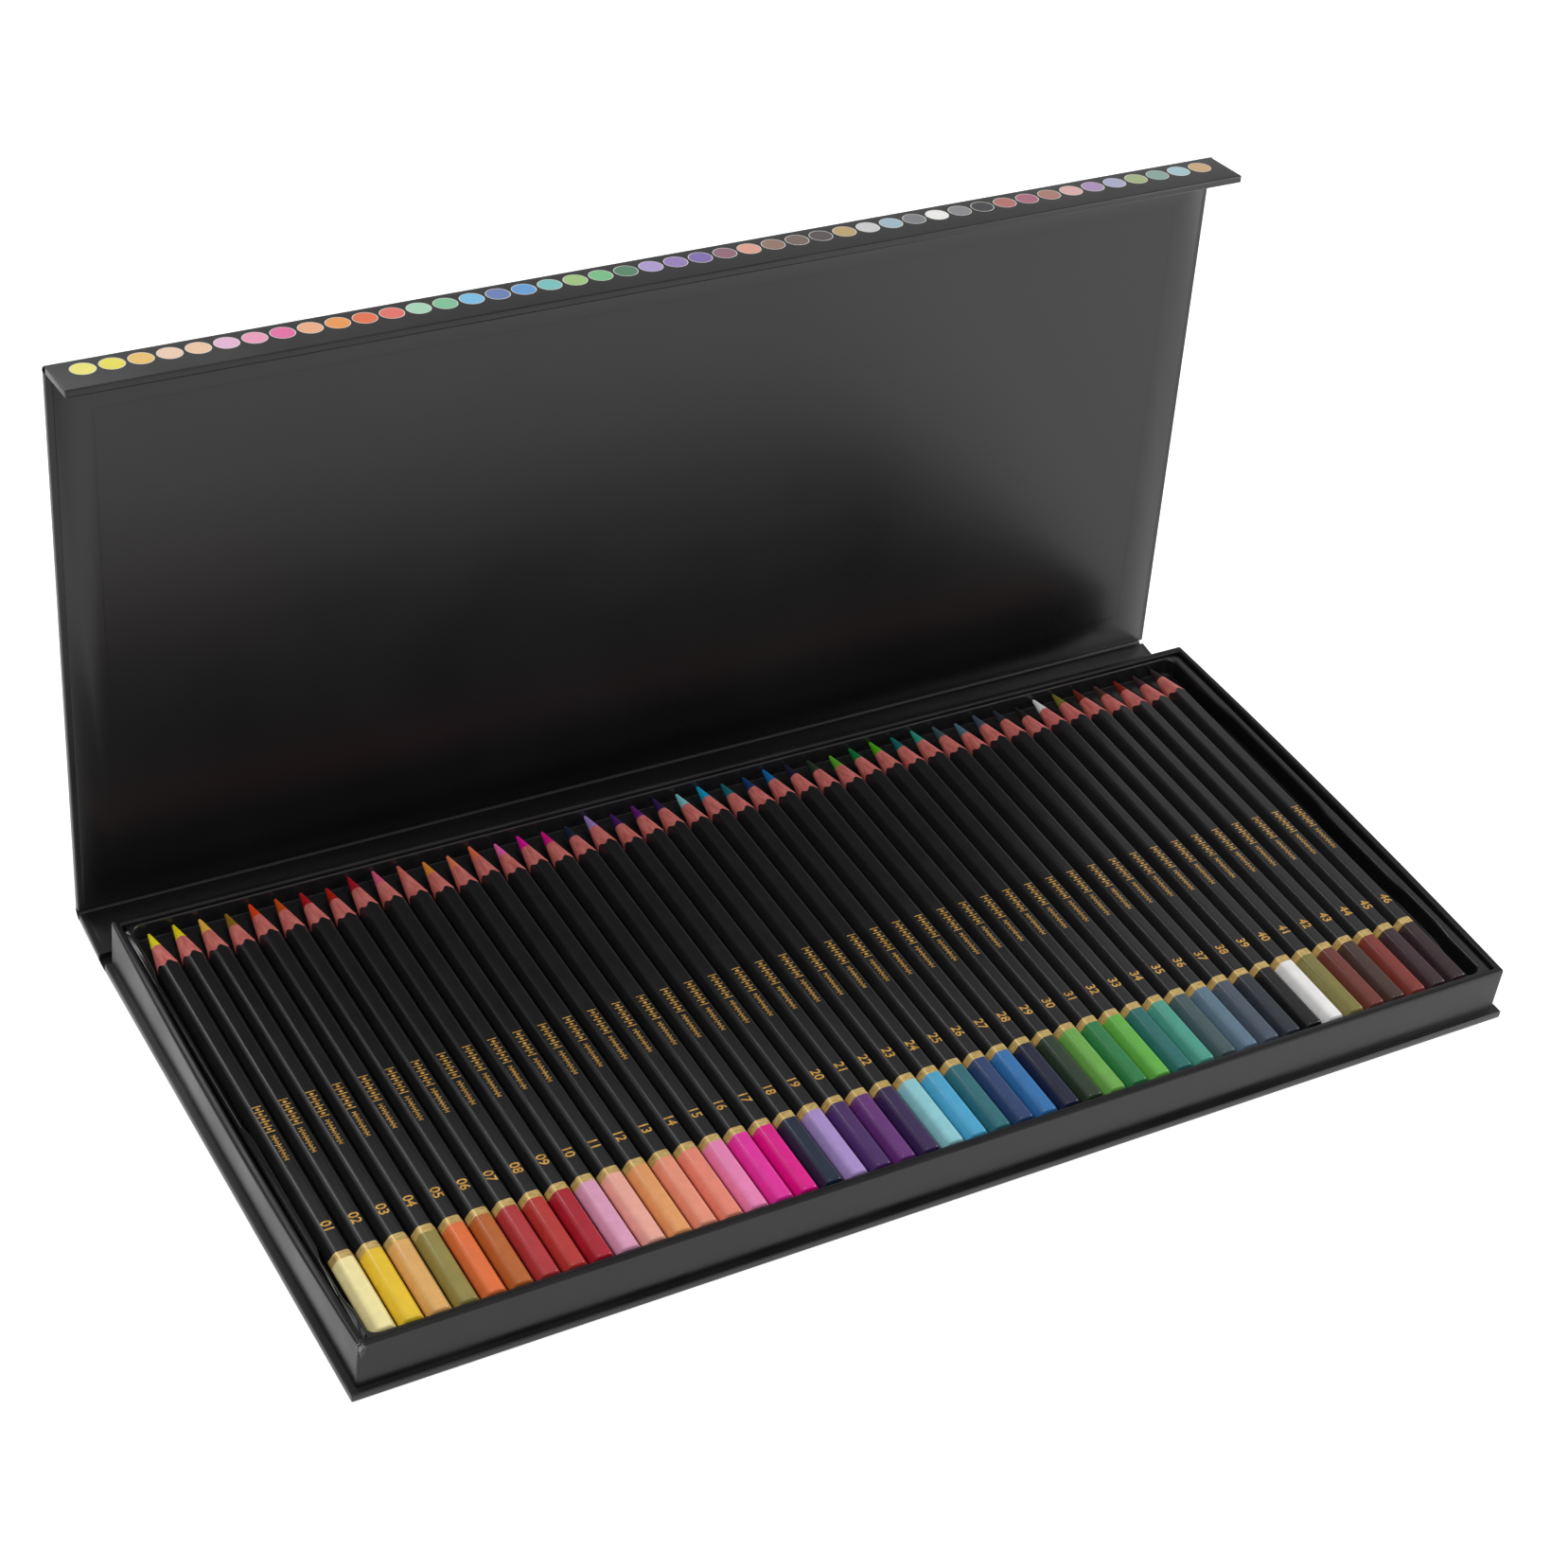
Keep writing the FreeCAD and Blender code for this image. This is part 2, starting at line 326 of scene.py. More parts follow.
def inward(angle):
    """Unit vector out of the inner face of a board at this angle."""
    return along(angle + 90)


def board_place(fold, angle):
    """Turns X, distance from the fold and distance from the outer face into a place."""
    up = along(angle)
    out = inward(angle)
    turn = Matrix(((1, 0, 0), (0, up.y, out.y), (0, up.z, out.z)))
    return Matrix.Translation(fold) @ turn.to_4x4()


def add_piece(name, shape, finishes, sharp=35.0):
    """Make an object of a bmesh. Edges past this many degrees or between finishes stay sharp."""
    for edge in shape.edges:
        faces = edge.link_faces
        if len(faces) == 2 and faces[0].material_index != faces[1].material_index:
            edge.smooth = False
        elif len(faces) == 2 and faces[0].calc_area() and faces[1].calc_area():
            edge.smooth = edge.calc_face_angle(0) < math.radians(sharp)
    for face in shape.faces:
        face.smooth = True
    mesh = bpy.data.meshes.new(name)
    shape.to_mesh(mesh)
    shape.free()
    for finish in finishes:
        mesh.materials.append(finish)
    piece = bpy.data.objects.new(name, mesh)
    bpy.context.scene.collection.objects.link(piece)
    return piece


def shader_inputs(finish):
    """Inputs of the finish's Principled shader."""
    return finish.node_tree.nodes["Principled BSDF"].inputs


def start_finish(name, colour, roughness, metallic=0.0, shine=0.5):
    """A Principled finish, and the Object coordinates that its patterns read."""
    finish = bpy.data.materials.new(name)
    finish.use_nodes = True
    inputs = shader_inputs(finish)
    inputs["Base Color"].default_value = (*colour, 1)
    inputs["Roughness"].default_value = roughness
    inputs["Metallic"].default_value = metallic
    inputs["Specular IOR Level"].default_value = shine
    finish.node_tree.nodes.new("ShaderNodeTexCoord")
    return finish


def add_node(finish, kind, inputs, **settings):
    """A node with its settings. Each input takes a value or another node's output."""
    tree = finish.node_tree
    node = tree.nodes.new("ShaderNode" + kind)
    for setting, value in settings.items():
        setattr(node, setting, value)
    for socket, value in inputs.items():
        if isinstance(value, bpy.types.NodeSocket):
            tree.links.new(value, node.inputs[socket])
        else:
            node.inputs[socket].default_value = value
    return node


def object_place(finish):
    """Object coordinates of the surface."""
    return finish.node_tree.nodes["Texture Coordinate"].outputs["Object"]


def feed_shader(finish, socket, value):
    """Drive an input of the Principled shader with a pattern."""
    finish.node_tree.links.new(value, shader_inputs(finish)[socket])


def add_noise(finish, scale, detail=3, stretch=(1, 1, 1)):
    """A noise pattern on Object coordinates, with its size given as bumps per metre."""
    mapping = add_node(finish, "Mapping", {"Vector": object_place(finish), "Scale": stretch})
    inputs = {"Vector": mapping.outputs["Vector"], "Scale": scale, "Detail": detail}
    return add_node(finish, "TexNoise", inputs).outputs["Fac"]


def add_range(finish, value, low, high, to_low, to_high):
    """Stretch a value from one range to another."""
    inputs = {"Value": value, "From Min": low, "From Max": high, "To Min": to_low, "To Max": to_high}
    return add_node(finish, "MapRange", inputs).outputs["Result"]


def join_values(finish, operation, first, second):
    """Join two values with one operation."""
    return add_node(finish, "Math", {0: first, 1: second}, operation=operation).outputs["Value"]


def add_distance(finish, point, flatten):
    """Distance of the surface from a point, with each axis counted as much as flatten says."""
    kind = "VectorMath"
    offset = add_node(finish, kind, {0: object_place(finish), 1: point}, operation="SUBTRACT")
    inputs = {0: offset.outputs["Vector"], 1: flatten}
    flat = add_node(finish, kind, inputs, operation="MULTIPLY")
    length = add_node(finish, kind, {0: flat.outputs["Vector"]}, operation="LENGTH")
    return length.outputs["Value"]


def add_bump(finish, height, depth, strength):
    """Raise the surface by a pattern of this depth."""
    bump = add_node(finish, "Bump", {"Height": height, "Distance": depth, "Strength": strength})
    feed_shader(finish, "Normal", bump.outputs["Normal"])


def vary_roughness(finish, pattern, smooth, dull, low=0.3):
    """Let a pattern vary the roughness from smooth to dull."""
    feed_shader(finish, "Roughness", add_range(finish, pattern, low, 0.7, smooth, dull))


def mix_colours(finish, amount, first, second):
    """Mix two colours by a pattern into the base colour, and return the mix."""
    colours = [
        colour if isinstance(colour, bpy.types.NodeSocket) else (*colour, 1)
        for colour in (first, second)
    ]
    # The Mix node has its colours as inputs 6 and 7, and their mix as output 2
    inputs = {"Factor": amount, 6: colours[0], 7: colours[1]}
    mix = add_node(finish, "Mix", inputs, data_type="RGBA").outputs[2]
    feed_shader(finish, "Base Color", mix)
    return mix


def vary_colour(finish, pattern, first, second, low=0.3, high=0.7):
    """Let a pattern vary the base colour from the first to the second, and return the mix."""
    return mix_colours(finish, add_range(finish, pattern, low, high, 0, 1), first, second)


def read_colour(finish, attribute, pattern, darkest, brightest, saturation=1.0):
    """Take the base colour from the piece's own attribute. A pattern varies its brightness."""
    own = add_node(finish, "Attribute", {}, attribute_name=attribute).outputs["Color"]
    value = add_range(finish, pattern, 0.3, 0.7, darkest, brightest)
    inputs = {"Color": own, "Saturation": saturation, "Value": value}
    shade = add_node(finish, "HueSaturation", inputs)
    feed_shader(finish, "Base Color", shade.outputs["Color"])


def finish_of(make):
    """The finish that a function makes, named after it and made once."""
    name = make.__name__
    return bpy.data.materials.get(name) or make(name)


def start_wrap(name, shine, smoother, duller):
    """Black satin paper, worn in broad patches. Returns it with its colour and its fine grain."""
    case = bpy.context.scene.pencil_box_case
    finish = start_finish(name, case.wrap_colour, case.wrap_roughness, shine=shine)
    grain = add_noise(finish, 1600, 4)
    patches = add_noise(finish, 45)
    smooth = case.wrap_roughness - smoother
    vary_roughness(finish, patches, smooth, case.wrap_roughness + duller)
    worn = tuple(value * 1.5 + 0.001 for value in case.wrap_colour)
    paper = vary_colour(finish, patches, case.wrap_colour, worn, 0.35, 0.75)
    return finish, paper, grain


def wrap_paper(name):
    """The wrap on the boards and folds, a little shinier than on the walls."""
    case = bpy.context.scene.pencil_box_case
    finish, _, grain = start_wrap(name, 1.4 * case.wrap_shine, 0.05, 0.06)
    add_bump(finish, grain, 0.012 * MM, 0.5)
    return finish


def wall_paper(name):
    """The wrap on the wall frame, scuffed at its front left corner and wrinkled at the back left."""
    case = bpy.context.scene.pencil_box_case
    finish, paper, grain = start_wrap(name, case.wrap_shine, 0.06, 0.05)
    corner = add_distance(finish, (wall_low.x, wall_low.y, wall_high.z), (1, 1, 0.45))
    near = add_range(finish, corner, 0.9 * MM, 2.6 * MM, 0.6, 0)
    patches = add_range(finish, add_noise(finish, 1400), 0.46, 0.62, 0, 1)
    scuff = join_values(finish, "MULTIPLY", near, patches)
    mix_colours(finish, scuff, paper, (0.3, 0.3, 0.3))
    back_corner = (wall_low.x, -wall_low.y, wall_high.z - 6 * MM)
    away = add_distance(finish, back_corner, (1, 1, 0.6))
    wrinkled = add_range(finish, away, 2 * MM, 16 * MM, 1, 0)
    creases = add_noise(finish, 160, stretch=(1, 1, 3))
    wrinkles = join_values(finish, "MULTIPLY", wrinkled, creases)
    raised = join_values(finish, "MULTIPLY", wrinkles, 30)
    add_bump(finish, join_values(finish, "ADD", raised, grain), 0.014 * MM, 0.6)
    return finish


def smooth_liner(name):
    """The liner of lid and spine: the wrap's paper, a little smoother."""
    case = bpy.context.scene.pencil_box_case
    finish = start_finish(name, case.wrap_colour, case.liner_roughness, shine=0.46)
    patches = add_noise(finish, 18, 2)
    smooth = case.liner_roughness - 0.02
    vary_roughness(finish, patches, smooth, case.liner_roughness + 0.03)
    worn = tuple(value * 1.25 for value in case.wrap_colour)
    vary_colour(finish, patches, case.wrap_colour, worn, 0.35, 0.75)
    add_bump(finish, add_noise(finish, 1300, 4), 0.01 * MM, 0.5)
    return finish


def glossy_sheet(name):
    """Glossy formed sheet with a faint ripple."""
    tray = bpy.context.scene.pencil_box_tray
    finish = start_finish(name, tray.plastic_colour, 0.24)
    vary_roughness(finish, add_noise(finish, 260, 2), 0.22, 0.27, low=0.35)
    add_bump(finish, add_noise(finish, 90, 2), 0.12 * MM, 0.5)
    return finish


def barrel_lacquer(name):
    """Black lacquer on the hexagonal barrel, with an orange-peel surface."""
    finish = start_finish(name, (0.009, 0.009, 0.01), 0.32)
    vary_roughness(finish, add_noise(finish, 120), 0.28, 0.37)
    add_bump(finish, add_noise(finish, 700, 2, (1, 0.35, 1)), 0.02 * MM, 0.4)
    return finish


def band_gold(name):
    """Gold band, slightly streaked round the barrel."""
    finish = start_finish(name, linear("c2a45c"), 0.35, metallic=0.3)
    streaks = add_noise(finish, 500, stretch=(1, 3, 1))
    vary_colour(finish, streaks, linear("bb9750"), linear("dac07e"))
    vary_roughness(finish, streaks, 0.26, 0.4)
    add_bump(finish, streaks, 0.01 * MM, 0.4)
    return finish


def foil_gold(name):
    """Stamped foil of the number and the ornament."""
    finish = start_finish(name, linear("d6a95a"), 0.4, metallic=0.12)
    patches = add_noise(finish, 900)
    vary_colour(finish, patches, linear("b8842e"), linear("e8b65c"), 0.35)
    vary_roughness(finish, patches, 0.32, 0.5)
    add_bump(finish, patches, 0.008 * MM, 0.5)
    return finish


def dip_lacquer(name):
    """Coloured lacquer of the dipped end, which reads the pencil's own colour."""
    finish = start_finish(name, (0.5, 0.5, 0.5), 0.24)
    cloud = add_noise(finish, 260)
    read_colour(finish, "pencil_colour", cloud, 0.94, 1.03)
    vary_roughness(finish, cloud, 0.2, 0.32)
    add_bump(finish, cloud, 0.02 * MM, 0.4)
    return finish


def sharpened_wood(name):
    """Reddish cedar of the sharpened cone, with grain along the pencil."""
    finish = start_finish(name, linear("d08a78"), 0.62)
    grain = add_noise(finish, 900, 4, (1, 0.06, 1))
    vary_colour(finish, grain, linear("dc8078"), linear("b8544e"), high=0.72)
    vary_roughness(finish, grain, 0.55, 0.75)
    add_bump(finish, grain, 0.04 * MM, 0.5)
    return finish


def bare_core(name):
    """Waxy core at the tip, which reads the pencil's own colour."""
    finish = start_finish(name, (0.5, 0.5, 0.5), 0.5)
    rub = add_noise(finish, 1200, 4, (1, 0.5, 1))
    read_colour(finish, "core_colour", rub, 0.86, 1.06, saturation=1.15)
    vary_roughness(finish, rub, 0.42, 0.62)
    add_bump(finish, rub, 0.05 * MM, 0.5)
    return finish


def dot_ink(name):
    """Printed ink of the dots, which reads each dot's own colour."""
    finish = start_finish(name, (0.5, 0.5, 0.5), 0.38)
    screen = add_noise(finish, 1500)
    read_colour(finish, "dot_colour", screen, 0.95, 1.03)
    vary_roughness(finish, screen, 0.33, 0.45)
    return finish


def closure_steel(name):
    """Plated magnets and steel plates of the closure."""
    finish = start_finish(name, (0.55, 0.55, 0.56), 0.3, metallic=1.0)
    streaks = add_noise(finish, 800)
    vary_roughness(finish, streaks, 0.24, 0.4)
    add_bump(finish, streaks, 0.01 * MM, 0.4)
    return finish


def stage_floor(name):
    """Plain pale floor."""
    stage = bpy.context.scene.pencil_box_stage
    finish = start_finish(name, stage.floor_colour, 0.9, shine=0.2)
    shader_inputs(finish)["Emission Color"].default_value = (1, 1, 1, 1)
    shader_inputs(finish)["Emission Strength"].default_value = stage.floor_glow
    return finish


def round_off(shape, geometry, offset, segments, affect="EDGES"):
    """Round off edges, or the corners at vertices."""
    bmesh.ops.bevel(
        shape,
        geom=geometry,
        offset=offset,
        offset_type="OFFSET",
        segments=segments,
        profile=0.5,
        affect=affect,
        material=-1,
    )


def flat_block(length, start, end, depth, thickness):
    """A flat block on a board's own axes, from start to end away from the fold."""
    block = bmesh.new()
    bmesh.ops.create_cube(block, size=1)
    bmesh.ops.scale(block, vec=(length, end - start, thickness), verts=block.verts)
    middle = (0, (start + end) / 2, depth + thickness / 2)
    bmesh.ops.translate(block, vec=middle, verts=block.verts)
    return block


def board_shape(fold, angle, start, end, thickness, rounding, joined):
    """A rounded board. Its outer edges stay square on the sides named in joined, where a fold
    carries on the wrap."""
    board = flat_block(2 * half_length, start, end, 0, thickness)
    rounded = []
    for edge in board.edges:
        middle = (edge.verts[0].co + edge.verts[1].co) / 2
        outer = middle.z < NEARLY and abs(middle.x) < NEARLY
        at_start = abs(middle.y - start) < NEARLY
        at_end = abs(middle.y - end) < NEARLY
        if outer and ((at_start and "start" in joined) or (at_end and "end" in joined)):
            continue
        rounded.append(edge)
    round_off(board, rounded, rounding, segments=4)
    bmesh.ops.transform(board, matrix=board_place(fold, angle), verts=board.verts)
    return board


class PENCILBOX_OT_boards(bpy.types.Operator):
    """Add the base, spine, lid and flap boards"""

    bl_idname = "pencil_box.boards"
    bl_label = "Case Boards"

    def execute(self, context):
        case = context.scene.pencil_box_case
        paper = finish_of(wrap_paper)
        thick = case.board_thickness
        margin = board_margin
        flap_span = spine_span - base_high.z - FLAP_CLEARANCE
        front = base_low.y - spine_fold.y
        boards = (
            ("base", spine_fold, 0, front, -margin, base_high.z, ("end",)),
            ("spine", spine_fold, spine_angle, margin, spine_span - margin, thick, ("start", "end")),
            ("lid", lid_fold, lid_angle, margin, lid_span - margin, thick, ("start", "end")),
            ("flap", flap_fold, flap_angle, margin, flap_span, thick + case.paper_proud, ("start",)),
        )
        for body, fold, angle, start, end, thickness, joined in boards:
            shape = board_shape(fold, angle, start, end, thickness, case.board_rounding, joined)
            board = add_piece(body + "_wrapped_board", shape, [paper])
            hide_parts(body + "_board")
            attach(board, body)
        return {"FINISHED"}


def outline_face(shape, points, z):
    """A flat face through points given as x, y and how far its corner is rounded off."""
    before = set(shape.faces)
    corners = {}
    verts = []
    for x, y, rounding in points:
        vert = shape.verts.new((x, y, z))
        verts.append(vert)
        if rounding:
            corners.setdefault(rounding, []).append(vert)
    shape.faces.new(verts)
    for rounding, rounded in corners.items():
        round_off(shape, rounded, rounding, segments=8, affect="VERTICES")
    return [face for face in shape.faces if face not in before][0]


def inset_down(shape, face, steps):
    """Carry a face inwards and along its normal in steps of width and drop."""
    for width, drop in steps:
        bmesh.ops.inset_region(
            shape,
            faces=[face],
            thickness=width,
            depth=-drop,
            use_even_offset=True,
            use_boundary=True,
        )


def pressed_face(shape, points, z, steps, floor=False):
    """Press a face through points down in steps. Returns its outer and its inner open edges."""
    before = set(shape.faces)
    face = outline_face(shape, points, z)
    inset_down(shape, face, steps)
    inner = face.edges[:]
    if not floor:
        bmesh.ops.delete(shape, geom=[face], context="FACES_ONLY")
    outer = []
    for edge in shape.edges:
        if edge.is_boundary and edge.link_faces[0] not in before and edge not in inner:
            outer.append(edge)
    return outer, inner


def quarter_turn(count):
    """How far each step of a quarter turn goes up its sine and down its cosine."""
    angles = [math.radians(90 * number / count) for number in range(count + 1)]
    return [
        (math.sin(after) - math.sin(before), math.cos(before) - math.cos(after))
        for before, after in zip(angles, angles[1:])
    ]


def rolled_lip(width, height, count=4):
    """Steps from a flat rim over a rounded lip into an upright wall."""
    return [(width * sine, height * cosine) for sine, cosine in quarter_turn(count)]


def rolled_foot(width, height, count=3):
    """Steps from an upright wall round its foot into the floor."""
    return [(width * cosine, height * sine) for sine, cosine in quarter_turn(count)]


def rolled_rim(width, height, count):
    """Steps from an upright wall round its top into a flat rim."""
    return [(inwards, -drop) for inwards, drop in rolled_foot(width, height, count)]


def rectangle(left, right, front, back, corner):
    """Corners of a rectangle, with their rounding."""
    return (left, front, corner), (right, front, corner), (right, back, corner), (left, back, corner)


def extrude_ring(shape, edges):
    """Extrude open edges. Returns the new vertices, faces and border."""
    made = bmesh.ops.extrude_edge_only(shape, edges=edges)["geom"]
    verts = {item for item in made if isinstance(item, bmesh.types.BMVert)}
    faces = [item for item in made if isinstance(item, bmesh.types.BMFace)]
    edges = [item for item in made if isinstance(item, bmesh.types.BMEdge)]
    return verts, faces, [edge for edge in edges if verts.issuperset(edge.verts)]


def extrude_down(shape, edges, drop):
    """Extrude open edges straight down and return the new border."""
    verts, _, border = extrude_ring(shape, edges)
    bmesh.ops.translate(shape, vec=(0, 0, -drop), verts=list(verts))
    return border


def fill_between(shape, edges):
    """Fill the flat area between closed rings of edges."""
    bmesh.ops.triangle_fill(shape, use_beauty=True, use_dissolve=False, edges=edges)


def bow_ends(walls, case, half_x, half_y, inner_x):
    """Bulge the end walls outwards at their middle, and slope the left one's rim."""
    height = wall_high.z - wall_low.z
    for vert in walls.verts:
        if abs(vert.co.x) > half_x - 2 * case.wall_thickness:
            across = min(1, abs(vert.co.y) / half_y)
            share = (1 - across**2) * (vert.co.z - wall_low.z) / height
            outward = min(1, max(0, (-vert.co.x - inner_x) / case.wall_thickness))
            vert.co.x += math.copysign(case.wall_bow * share, vert.co.x)
            vert.co.z -= case.rim_slope * share * outward


class PENCILBOX_OT_walls(bpy.types.Operator):
    """Add the wrapped wall frame round the tray"""

    bl_idname = "pencil_box.walls"
    bl_label = "Wall Frame"

    def execute(self, context):
        case = context.scene.pencil_box_case
        paper = finish_of(wall_paper)
        half_x = wall_high.x + case.paper_proud
        half_y = case.paper_proud - wall_low.y
        inner_x = wall_high.x - case.wall_thickness
        inner_y = -wall_low.y - case.wall_thickness
        turn = case.wall_rounding
        outer_corner = 1.1 * turn
        inner_corner = 1.6 * turn
        drop = wall_high.z - wall_low.z - turn
        roll_steps = 5
        walls = bmesh.new()
        outline = rectangle(-half_x, half_x, -half_y, half_y, outer_corner)
        rising = rolled_rim(turn, turn, roll_steps)
        outer, top = pressed_face(walls, outline, wall_high.z - turn, rising)
        bottom = extrude_down(walls, outer, drop)
        reach_x = inner_x + turn
        reach_y = inner_y + turn
        outline = rectangle(-reach_x, reach_x, -reach_y, reach_y, inner_corner)
        falling = rolled_lip(turn, turn, roll_steps) + [(0, drop)]
        outer, inner = pressed_face(walls, outline, wall_high.z, falling)
        fill_between(walls, top + outer)
        fill_between(walls, bottom + inner)
        # Cuts across the walls, so that they can bow
        cuts_each_side = 15
        for number in range(-cuts_each_side, cuts_each_side + 1):
            geometry = walls.verts[:] + walls.edges[:] + walls.faces[:]
            middle = (0, number * half_y / (cuts_each_side + 1.5), 0)
            bmesh.ops.bisect_plane(walls, geom=geometry, plane_co=middle, plane_no=(0, 1, 0))
        bmesh.ops.recalc_face_normals(walls, faces=walls.faces)
        bow_ends(walls, case, half_x, half_y, inner_x)
        piece = add_piece("wrapped_wall_frame", walls, [paper])
        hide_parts("front_wall", "back_wall", "end_walls")
        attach(piece, "base")
        return {"FINISHED"}


def bent_strip(fold, below, above, thickness):
    """Paper bent round a fold, tangent to the faces of both boards."""
    bend = math.radians(above - below)
    radius = board_margin / math.tan(bend / 2)
    outside = fold - along(below) * board_margin
    inside = outside + inward(below) * thickness
    reach = Vector((half_length, 0, 0))
    strip = bmesh.new()
    corners = (outside - reach, outside + reach, inside + reach, inside - reach)
    face = strip.faces.new([strip.verts.new(corner) for corner in corners])
    bmesh.ops.spin(
        strip,
        geom=[face] + face.edges[:] + face.verts[:],
        cent=outside + inward(below) * radius,
        axis=(1, 0, 0),
        angle=bend,
        steps=12,
        use_merge=False,
        use_duplicate=False,
    )
    bmesh.ops.remove_doubles(strip, verts=strip.verts, dist=SAME_PLACE)
    bmesh.ops.recalc_face_normals(strip, faces=strip.faces)
    return strip


# Each fold with the bodies and the board angles on both sides of it
FOLDS = (
    ("base_spine_hinge", "base", "spine", spine_fold, 0, spine_angle),
    ("spine_lid_hinge", "spine", "lid", lid_fold, spine_angle, lid_angle),
    ("lid_flap_hinge", "lid", "flap", flap_fold, lid_angle, flap_angle),
)


class PENCILBOX_OT_folds(bpy.types.Operator):
    """Add the paper folds between the boards"""

    bl_idname = "pencil_box.folds"
    bl_label = "Paper Folds"

    def execute(self, context):
        paper = finish_of(wrap_paper)
        for node, lower, upper, fold, below, above in FOLDS:
            strip = bent_strip(fold, below, above, FOLD_PAPER)
            piece = add_piece(node.replace("hinge", "fold"), strip, [paper])
            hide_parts(node)
            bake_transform(piece)
        return {"FINISHED"}


def liner_shape(fold, angle, start, end, case, sheet, turned_in):
    """A liner sheet with a faint step over the edge of the wrap turned in under it."""
    length = 2 * (half_length - case.liner_inset)
    liner = flat_block(length, start, end, case.board_thickness, sheet)
    top = [face for face in liner.faces if face.normal.z > 0.9][0]
    round_off(liner, top.edges[:], LINER_EDGE, segments=2)
    if turned_in:
        top = max(liner.faces, key=lambda face: face.calc_area() * (face.normal.z > 0.9))
        inset_down(liner, top, [(turned_in - case.liner_inset, 0), *LINER_STEP])
    bmesh.ops.transform(liner, matrix=board_place(fold, angle), verts=liner.verts)
    return liner


class PENCILBOX_OT_liners(bpy.types.Operator):
    """Add the liners on the lid and the spine"""

    bl_idname = "pencil_box.liners"
    bl_label = "Liners"

    def execute(self, context):
        case = context.scene.pencil_box_case
        paper = finish_of(smooth_liner)
        start = board_margin + case.liner_inset
        end = lid_span - start
        shape = liner_shape(lid_fold, lid_angle, start, end, case, case.liner_sheet, case.turned_in)
        piece = add_piece("lid_liner_sheet", shape, [paper], sharp=50)
        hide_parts("lid_liner")
        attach(piece, "lid")
        start = board_margin
        end = spine_span - start
        shape = liner_shape(spine_fold, spine_angle, start, end, case, SPINE_LINER, 0)
        piece = add_piece("spine_liner_sheet", shape, [paper], sharp=50)
        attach(piece, "spine")
        return {"FINISHED"}


def pocket_outline(radius, margin):
    """The pocket's rim, grown by a margin: rounded corners, finger notches on its left side and
    shallow bays on its right side."""
    left = pocket_left - margin
    right = pocket_right + margin
    front = pocket_front - margin
    back = pocket_back + margin
    points = [(left, front, radius), (right, front, radius)]
    for y, out in BAYS:
        points.append((right + out * MM, y * MM, BEND_ROUNDING))
    points += [
        (right, back, radius),
        (right - SHOULDER_MARGIN, back, 0),
        (left + SHOULDER_MARGIN, back, 0),
        (left, back, radius),
    ]
    for middle, length in NOTCHES:
        bottom = length / 2 - NOTCH_SLOPE
        top = length / 2 + NOTCH_SLOPE
        for y, out in ((top, 0), (bottom, NOTCH_DEPTH), (-bottom, NOTCH_DEPTH), (-top, 0)):
            points.append((left - out * MM, (middle + y) * MM, BEND_ROUNDING))
    return points


def form_skirt(shape, left_fall):
    """The skirt, rolled over into the rim, whose left side falls. Returns the rim's open edges."""
    low, high = tray_low, tray_high
    outline = rectangle(low.x, high.x, low.y, high.y, SKIRT_CORNER)
    roll = rolled_rim(SKIRT_ROLL, LIP_HEIGHT, 4)
    skirt_top, rim_edges = pressed_face(shape, outline, high.z - LIP_HEIGHT, roll)
    extrude_down(shape, skirt_top, high.z - LIP_HEIGHT - low.z)
    # The left rim, with the top of the skirt below it
    near = 1 * MM
    for vert in shape.verts:
        if vert.co.z > low.z + near and vert.co.x < low.x + near:
            vert.co.z -= left_fall
    return rim_edges


def press_pocket(shape, tray, floor_z):
    """The pocket, with a shoulder along its back wall and a lip that widens towards both ends.
    Returns the open edges of the lip and of the floor."""
    known = set(shape.verts)
    rim_z = tray_high.z
    shoulder_z = floor_z + SHOULDER_HEIGHT
    above = SHOULDER_SLOPE / 2
    steps = rolled_lip(LIP_WIDTH, LIP_HEIGHT)
    steps.append((0, rim_z - LIP_HEIGHT - shoulder_z - above))
    # A trace of width keeps the slope's two rings apart
    steps.append((0.002 * MM, SHOULDER_SLOPE))
    steps.append((0, shoulder_z - above - floor_z - FOOT_HEIGHT))
    steps += rolled_foot(FOOT_WIDTH, FOOT_HEIGHT)
    outline = pocket_outline(tray.corner_radius, LIP_WIDTH)
    lip_edges, floor_edges = pressed_face(shape, outline, rim_z, steps)
    # The back wall steps in below its shoulder, and the lip widens near both ends
    reach = SHOULDER_MARGIN - 0.1 * MM
    back_wall = pocket_back - 0.7 * MM
    fade = 4 * MM
    for vert in shape.verts:
        if vert in known:
            continue
        between_ends = pocket_left + reach < vert.co.x < pocket_right - reach
        if between_ends and vert.co.z < shoulder_z and vert.co.y > back_wall:
            vert.co.y -= SHOULDER_DEPTH
        rise = min(1, max(0, (vert.co.z - rim_z + LIP_HEIGHT) / LIP_HEIGHT))
        near_left = min(1, max(0, (pocket_left + fade - vert.co.x) / fade))
        near_right = min(1, max(0, (vert.co.x - pocket_right + fade) / fade))
        spread = (tray.rim_width - LIP_WIDTH) * (1 - math.sqrt(1 - rise**2))
        vert.co.x += spread * (near_right**2 - near_left**2)
    return lip_edges, floor_edges


